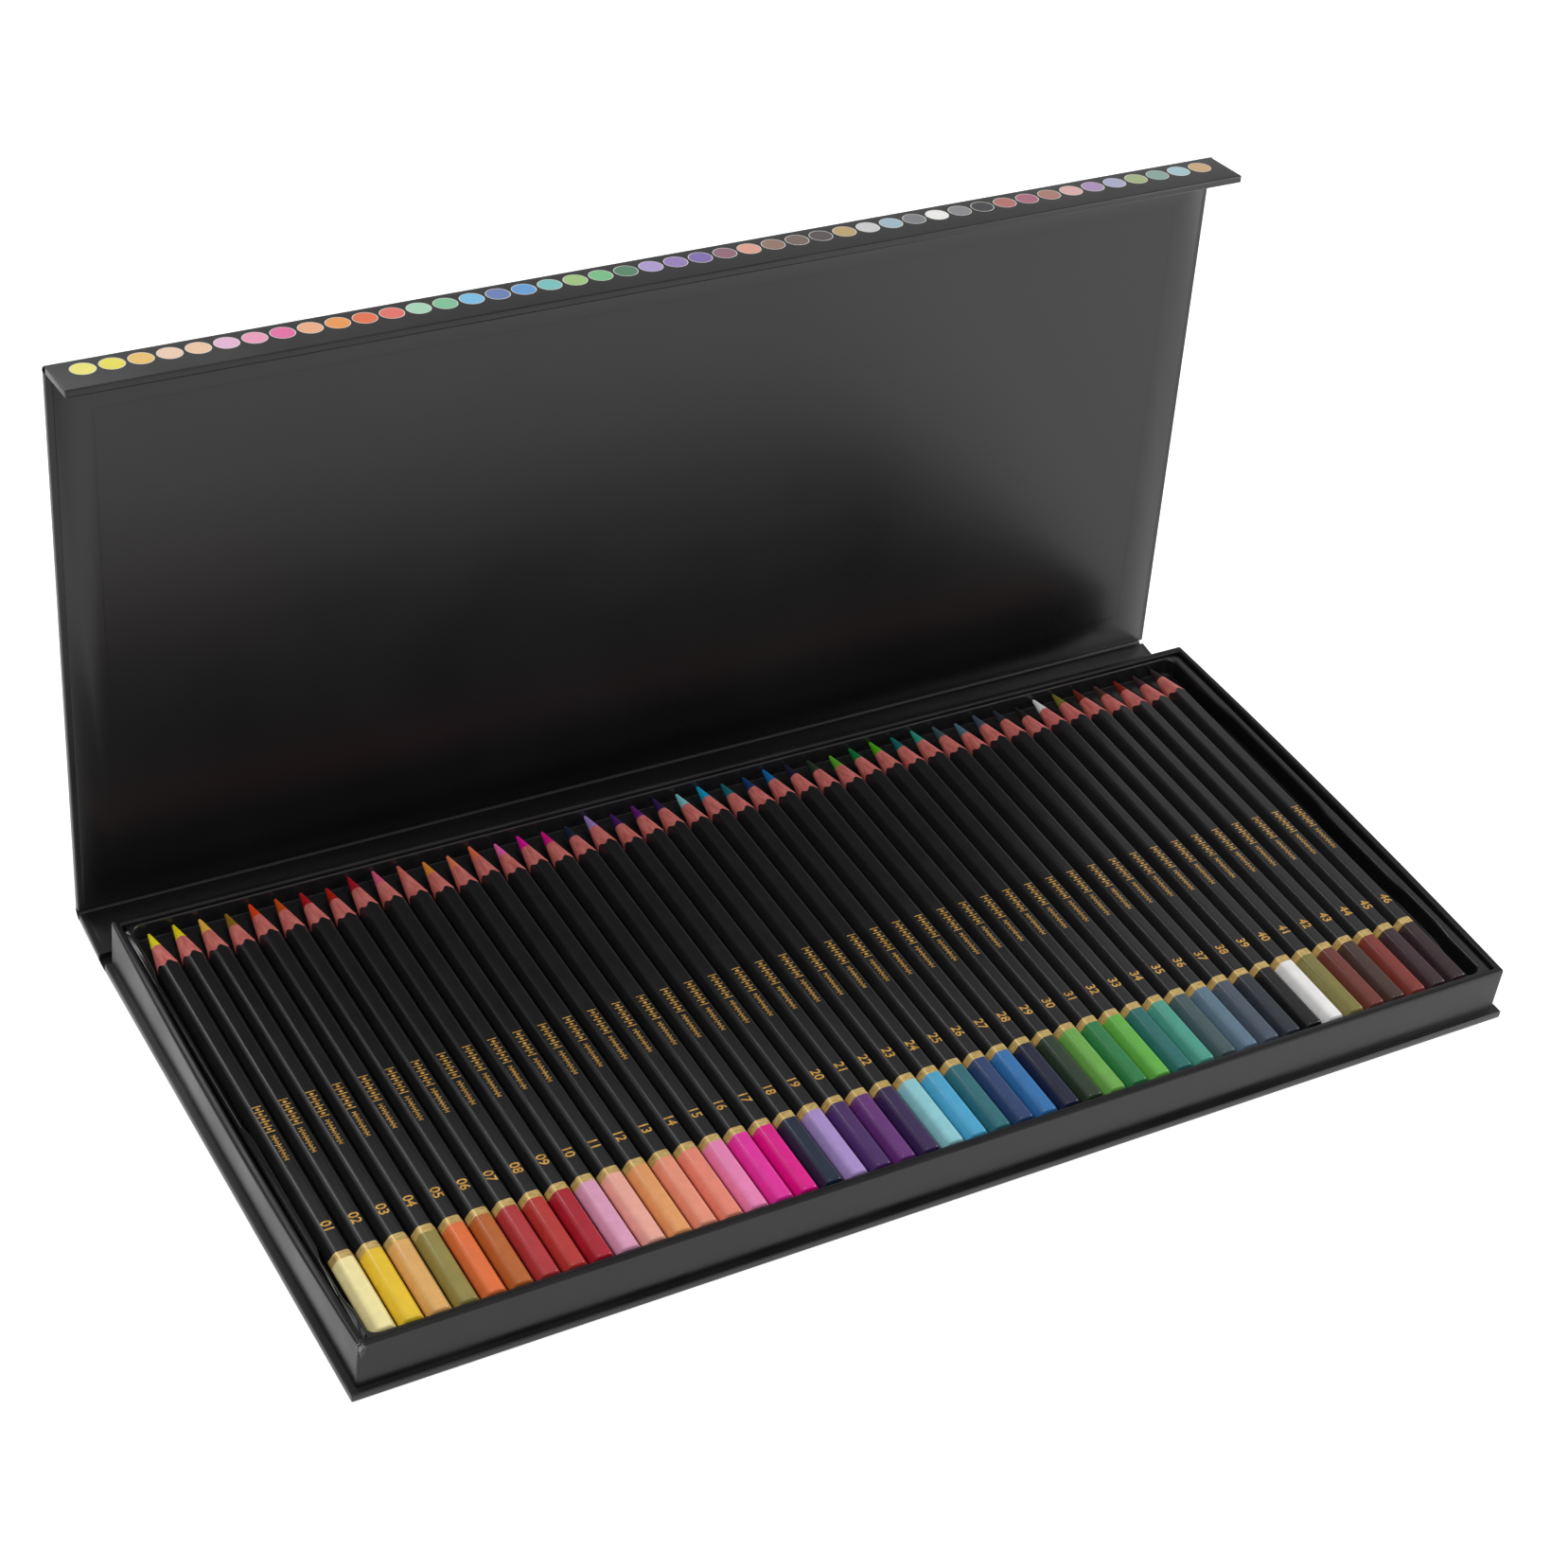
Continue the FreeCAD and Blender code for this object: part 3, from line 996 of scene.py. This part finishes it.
def press_channels(shape, tray, floor_z):
    """Channels pressed down from the floor, which carry the tray. Returns their outer edges."""
    left = pocket_left + CHANNEL_END_MARGIN
    right = pocket_right - CHANNEL_END_MARGIN
    drop = floor_z - tray_low.z - tray.sheet - 2 * CHANNEL_ROLL
    steps = rolled_lip(CHANNEL_ROLL, CHANNEL_ROLL, 3) + [(CHANNEL_DRAFT, drop)]
    steps += rolled_foot(CHANNEL_ROLL, CHANNEL_ROLL)
    edges = []
    for number in (-1, 0, 1):
        middle = (pocket_front + pocket_back) / 2 + number * CHANNEL_SPACING
        front = middle - CHANNEL_HALF_WIDTH
        back = middle + CHANNEL_HALF_WIDTH
        outline = rectangle(left, right, front, back, CHANNEL_CORNER)
        edges += pressed_face(shape, outline, floor_z, steps, floor=True)[0]
    return edges


class PENCILBOX_OT_tray(bpy.types.Operator):
    """Add the formed tray"""

    bl_idname = "pencil_box.tray"
    bl_label = "Formed Tray"

    def execute(self, context):
        settings = context.scene.pencil_box_tray
        plastic = finish_of(glossy_sheet)
        floor_z = tray_high.z - settings.pocket_depth
        shape = bmesh.new()
        rim_edges = form_skirt(shape, settings.left_fall)
        lip_edges, floor_edges = press_pocket(shape, settings, floor_z)
        fill_between(shape, rim_edges + lip_edges)
        channel_edges = press_channels(shape, settings, floor_z)
        fill_between(shape, floor_edges + channel_edges)
        bmesh.ops.remove_doubles(shape, verts=shape.verts, dist=SAME_PLACE)
        bmesh.ops.recalc_face_normals(shape, faces=shape.faces)
        upward = max(shape.faces, key=lambda face: face.calc_center_median().z)
        if upward.normal.z < 0:
            bmesh.ops.reverse_faces(shape, faces=shape.faces)
        piece = add_piece("formed_tray", shape, [plastic], sharp=40)
        wall = piece.modifiers.new("sheet", "SOLIDIFY")
        wall.thickness = settings.sheet
        wall.offset = -1
        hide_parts("insert_tray")
        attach(piece, "tray")
        return {"FINISHED"}


def pencil_names():
    """Names of the pencils' nodes, from left to right."""
    return sorted(name for name in frame["nodes"] if name.startswith("pencil_"))


def carry_ring(shape, edges, finish, place):
    """Extrude a ring of edges, give its faces a finish and put each new vertex in place."""
    verts, faces, border = extrude_ring(shape, edges)
    for vert in verts:
        vert.co = place(vert.co)
    for face in faces:
        face.material_index = finish
    return border


def grown(scale, y):
    """Scales a ring about the pencil's axis and puts it this far from the blunt end."""
    return lambda place: Vector((place.x * scale, y, place.z * scale))


def turned(radius, y):
    """Brings a ring to one radius, this far from the blunt end."""
    return lambda place: grown(radius / math.hypot(place.x, place.z), y)(place)


# Places of a pencil's finishes on its mesh
DIP, BAND, BARREL, WOOD, CORE = range(5)
PENCIL_FINISHES = (dip_lacquer, band_gold, barrel_lacquer, sharpened_wood, bare_core)


def pencil_shape(settings, low, high):
    """One pencil, with a run of faces for each finish: dip, band, barrel, wood and core."""
    corner = settings.across_flats / math.sqrt(3)
    length = high.y - low.y
    chamfer = settings.end_chamfer
    tip = settings.tip_radius
    tip_bevel = 0.15 * MM
    shape = bmesh.new()
    bmesh.ops.create_circle(shape, cap_ends=True, segments=6, radius=corner)
    round_off(shape, shape.verts[:], settings.edge_rounding, segments=4, affect="VERTICES")
    shortest_flat = 0.3 * corner
    flats = [edge for edge in shape.edges if edge.calc_length() > shortest_flat]
    bmesh.ops.subdivide_edges(shape, edges=flats, cuts=5)
    turn = Matrix.Rotation(math.radians(90), 3, "X") @ Matrix.Rotation(math.radians(30), 3, "Z")
    bmesh.ops.rotate(shape, cent=(0, 0, 0), matrix=turn, verts=shape.verts)
    start = 1 - chamfer / corner
    bmesh.ops.scale(shape, vec=(start, 1, start), verts=shape.verts)
    edges = shape.edges[:]
    size = start
    # Finish, distance from the blunt end and size of each ring; the chamfer is a little round
    rings = (
        (DIP, 0.15 * chamfer, start + (1 - start) * 0.5),
        (DIP, 0.55 * chamfer, start + (1 - start) * 0.87),
        (DIP, chamfer, 1),
        (DIP, settings.dip_length, 1),
        (BAND, settings.dip_length + settings.band_width, 1),
    )
    for finish, reach, new_size in rings:
        edges = carry_ring(shape, edges, finish, grown(new_size / size, reach))
        size = new_size
    slope = (corner - tip) / settings.point_length

    def cone_foot(place):
        across = math.hypot(place.x, place.z)
        return Vector((place.x, length - (across - tip) / slope, place.z))

    edges = carry_ring(shape, edges, BARREL, cone_foot)
    core_radius = tip + slope * settings.core_length
    edges = carry_ring(shape, edges, WOOD, turned(core_radius, length - settings.core_length))
    edges = carry_ring(shape, edges, CORE, turned(tip, length - tip_bevel))
    edges = carry_ring(shape, edges, CORE, turned(0.6 * tip, length))
    for face in bmesh.ops.contextual_create(shape, geom=edges)["faces"]:
        face.material_index = CORE
    bmesh.ops.recalc_face_normals(shape, faces=shape.faces)
    middle = (low + high) / 2
    bmesh.ops.translate(shape, vec=(middle.x, low.y, middle.z), verts=shape.verts)
    return shape


def paint(piece, name, colour):
    """Give the whole mesh one colour in a named attribute."""
    layer = piece.data.color_attributes.new(name, "FLOAT_COLOR", "POINT")
    for item in layer.data:
        item.color = (*colour, 1)


class PENCILBOX_OT_pencils(bpy.types.Operator):
    """Add the row of coloured pencils"""

    bl_idname = "pencil_box.pencils"
    bl_label = "Pencils"

    def execute(self, context):
        settings = context.scene.pencil_box_pencils
        finishes = [finish_of(make) for make in PENCIL_FINISHES]
        for name, colour in zip(pencil_names(), DIP_COLOURS):
            shape = pencil_shape(settings, *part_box(name))
            piece = add_piece("coloured_" + name, shape, finishes)
            paint(piece, "pencil_colour", linear(colour))
            paint(piece, "core_colour", linear(CORE_COLOURS.get(name, colour)))
            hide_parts(name)
            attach(piece, name)
        return {"FINISHED"}


def number_mesh(text, size):
    """A flat number, centred on the origin, in slightly bold type."""
    curve = bpy.data.curves.new("number", "FONT")
    curve.body = text
    curve.size = size
    curve.align_x = "CENTER"
    curve.align_y = "CENTER"
    curve.resolution_u = 3
    curve.offset = 0.015 * size
    holder = bpy.data.objects.new("number", curve)
    mesh = bpy.data.meshes.new_from_object(holder)
    bpy.data.objects.remove(holder)
    bpy.data.curves.remove(curve)
    return mesh


def put_mark(shape, mark, place, length, width):
    """Size a flat mark and put it at this place along X."""
    bmesh.ops.scale(shape, vec=(length, width, 1), verts=mark["verts"])
    bmesh.ops.translate(shape, vec=(place, 0, 0), verts=mark["verts"])


def ornament_shape(shape):
    """Rows of upright strokes with lozenges between them, in place of lettering."""
    for start, pitch, count, thickness, widths, length, width in ORNAMENT_RUNS:
        for number in range(count):
            place = (start + number * pitch) * MM
            stroke = bmesh.ops.create_grid(shape, x_segments=1, y_segments=1, size=0.5)
            put_mark(shape, stroke, place, thickness * MM, widths[number % 2] * ORNAMENT_WIDTH)
            if number < count - 1:
                place += pitch / 2 * MM
                lozenge = bmesh.ops.create_circle(shape, cap_ends=True, segments=4, radius=0.5)
                put_mark(shape, lozenge, place, length * MM, width * ORNAMENT_WIDTH)


class PENCILBOX_OT_foil(bpy.types.Operator):
    """Add the foil number and ornament on each pencil"""

    bl_idname = "pencil_box.foil"
    bl_label = "Foil Marks"

    def execute(self, context):
        settings = context.scene.pencil_box_pencils
        gold = finish_of(foil_gold)
        reading = Matrix(((0, 1, 0), (-1, 0, 0), (0, 0, 1))).to_4x4()
        for number, name in enumerate(pencil_names()):
            low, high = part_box(name)
            top = high.z + PRINT_LIFT
            middle = (low.x + high.x) / 2
            marks = bmesh.new()
            ornament_shape(marks)
            place = Matrix.Translation((middle, low.y + ORNAMENT_PLACE, top))
            bmesh.ops.transform(marks, matrix=place @ reading, verts=marks.verts)
            digits = number_mesh("%02d" % (number + 1), settings.digit_size)
            place = Matrix.Translation((middle, low.y + NUMBER_PLACE, top))
            digits.transform(place @ reading)
            marks.from_mesh(digits)
            bpy.data.meshes.remove(digits)
            slivers = [face for face in marks.faces if face.calc_area() < SLIVER_AREA]
            bmesh.ops.delete(marks, geom=slivers, context="FACES")
            for face in marks.faces:
                if face.normal.z < 0:
                    face.normal_flip()
            piece = add_piece("foil_" + name, marks, [gold])
            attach(piece, name)
        return {"FINISHED"}


class PENCILBOX_OT_dots(bpy.types.Operator):
    """Add the printed colour dots on the flap"""

    bl_idname = "pencil_box.dots"
    bl_label = "Colour Dots"

    def execute(self, context):
        settings = context.scene.pencil_box_dots
        ink = finish_of(dot_ink)
        dots = bmesh.new()
        layer = dots.verts.layers.float_color.new("dot_colour")
        rim = linear(DOT_RIM_COLOUR)
        first = -(len(DOT_COLOURS) - 1) / 2 * settings.pitch
        for number, colour in enumerate(DOT_COLOURS):
            middle = (first + number * settings.pitch, settings.from_fold, -PRINT_LIFT)
            made = bmesh.ops.create_circle(
                dots, cap_ends=True, segments=40, radius=settings.diameter / 2
            )
            bmesh.ops.translate(dots, vec=middle, verts=made["verts"])
            face = made["verts"][0].link_faces[0]
            for vert in face.verts:
                vert[layer] = (*rim, 1)
            for width, tone in ((DOT_RIM, rim), (DOT_EDGE, linear(colour))):
                inset_down(dots, face, [(width, 0)])
                for vert in face.verts:
                    vert[layer] = (*tone, 1)
        for face in dots.faces:
            if face.normal.z > 0:
                face.normal_flip()
        bmesh.ops.transform(dots, matrix=board_place(flap_fold, flap_angle), verts=dots.verts)
        piece = add_piece("flap_colour_dots", dots, [ink])
        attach(piece, "flap")
        return {"FINISHED"}


class PENCILBOX_OT_closure(bpy.types.Operator):
    """Give the hidden magnets and steel plates their metal finish"""

    bl_idname = "pencil_box.closure"
    bl_label = "Closure"

    def execute(self, context):
        steel = finish_of(closure_steel)
        for name in ("flap_magnets", "wall_plates"):
            for slot in frame["nodes"][name].material_slots:
                slot.material = steel
        return {"FINISHED"}


def add_light(name, place, target, size, power):
    """A square soft light that faces a point."""
    data = bpy.data.lights.new(name, "AREA")
    data.shape = "SQUARE"
    data.size = size
    data.energy = power
    light = bpy.data.objects.new(name, data)
    bpy.context.scene.collection.objects.link(light)
    light.location = place
    light.rotation_euler = (Vector(place) - Vector(target)).to_track_quat("Z", "Y").to_euler()


def add_camera(scene, stage):
    """The camera, turned about the point that it looks at."""
    lens = bpy.data.cameras.new("camera")
    lens.sensor_width = 36
    lens.lens = stage.lens
    lens.clip_start = 0.05
    lens.clip_end = 30
    camera = bpy.data.objects.new("camera", lens)
    scene.collection.objects.link(camera)
    flat = math.cos(stage.elevation)
    east = math.sin(stage.azimuth) * flat
    north = -math.cos(stage.azimuth) * flat
    back = Vector((east, north, math.sin(stage.elevation)))
    right = Vector((0, 0, 1)).cross(back).normalized()
    up = back.cross(right)
    cosine = math.cos(stage.roll)
    sine = math.sin(stage.roll)
    axes = (cosine * right + sine * up, cosine * up - sine * right, back)
    camera.location = Vector(stage.target) + back * stage.distance
    camera.rotation_euler = Matrix(axes).transposed().to_euler()
    scene.camera = camera


class PENCILBOX_OT_stage(bpy.types.Operator):
    """Add the floor, the lights and the camera"""

    bl_idname = "pencil_box.stage"
    bl_label = "Stage"

    def execute(self, context):
        scene = context.scene
        stage = scene.pencil_box_stage
        floor = bmesh.new()
        floor_gap = 0.4 * MM
        bmesh.ops.create_grid(floor, x_segments=1, y_segments=1, size=stage.floor_reach)
        bmesh.ops.translate(floor, vec=(0, 0, -floor_gap), verts=floor.verts)
        piece = add_piece("studio_floor", floor, [finish_of(stage_floor)])
        world = bpy.data.worlds.new("studio")
        world.use_nodes = True
        sky = world.node_tree.nodes["Background"]
        sky.inputs["Color"].default_value = (1, 1, 1, 1)
        sky.inputs["Strength"].default_value = stage.room_light
        scene.world = world
        for name, place, target, size, share in LIGHTS:
            add_light(name, place, target, size, share * stage.key_light)
        scene.view_settings.view_transform = "Standard"
        add_camera(scene, stage)
        return {"FINISHED"}


class PENCILBOX_PT_panel(bpy.types.Panel):
    """The box's sizes and the buttons that make its pieces"""

    bl_label = "Pencil Box"
    bl_idname = "PENCILBOX_PT_panel"
    bl_space_type = "VIEW_3D"
    bl_region_type = "UI"
    bl_category = "Pencil Box"

    def draw(self, context):
        layout = self.layout
        for operator in OPERATORS:
            layout.operator(operator.bl_idname)
        for name, settings in SETTINGS.items():
            box = layout.box()
            group = getattr(context.scene, name)
            for field in settings.__annotations__:
                box.prop(group, field)


SETTINGS = {
    "pencil_box_case": CaseSettings,
    "pencil_box_tray": TraySettings,
    "pencil_box_pencils": PencilSettings,
    "pencil_box_dots": DotSettings,
    "pencil_box_stage": StageSettings,
}

OPERATORS = (
    PENCILBOX_OT_boards,
    PENCILBOX_OT_walls,
    PENCILBOX_OT_folds,
    PENCILBOX_OT_liners,
    PENCILBOX_OT_tray,
    PENCILBOX_OT_pencils,
    PENCILBOX_OT_foil,
    PENCILBOX_OT_dots,
    PENCILBOX_OT_closure,
    PENCILBOX_OT_stage,
)


def register():
    for name, settings in SETTINGS.items():
        bpy.utils.register_class(settings)
        setattr(bpy.types.Scene, name, bpy.props.PointerProperty(type=settings))
    for operator in OPERATORS:
        bpy.utils.register_class(operator)
    bpy.utils.register_class(PENCILBOX_PT_panel)


def unregister():
    bpy.utils.unregister_class(PENCILBOX_PT_panel)
    for operator in reversed(OPERATORS):
        bpy.utils.unregister_class(operator)
    for name, settings in SETTINGS.items():
        delattr(bpy.types.Scene, name)
        bpy.utils.unregister_class(settings)


def main():
    register()
    bpy.ops.pencil_box.boards()
    bpy.ops.pencil_box.walls()
    bpy.ops.pencil_box.folds()
    bpy.ops.pencil_box.liners()
    bpy.ops.pencil_box.tray()
    bpy.ops.pencil_box.pencils()
    bpy.ops.pencil_box.foil()
    bpy.ops.pencil_box.dots()
    bpy.ops.pencil_box.closure()
    bpy.ops.pencil_box.stage()
    bpy.context.view_layer.update()


if __name__ == "__main__":
    main()
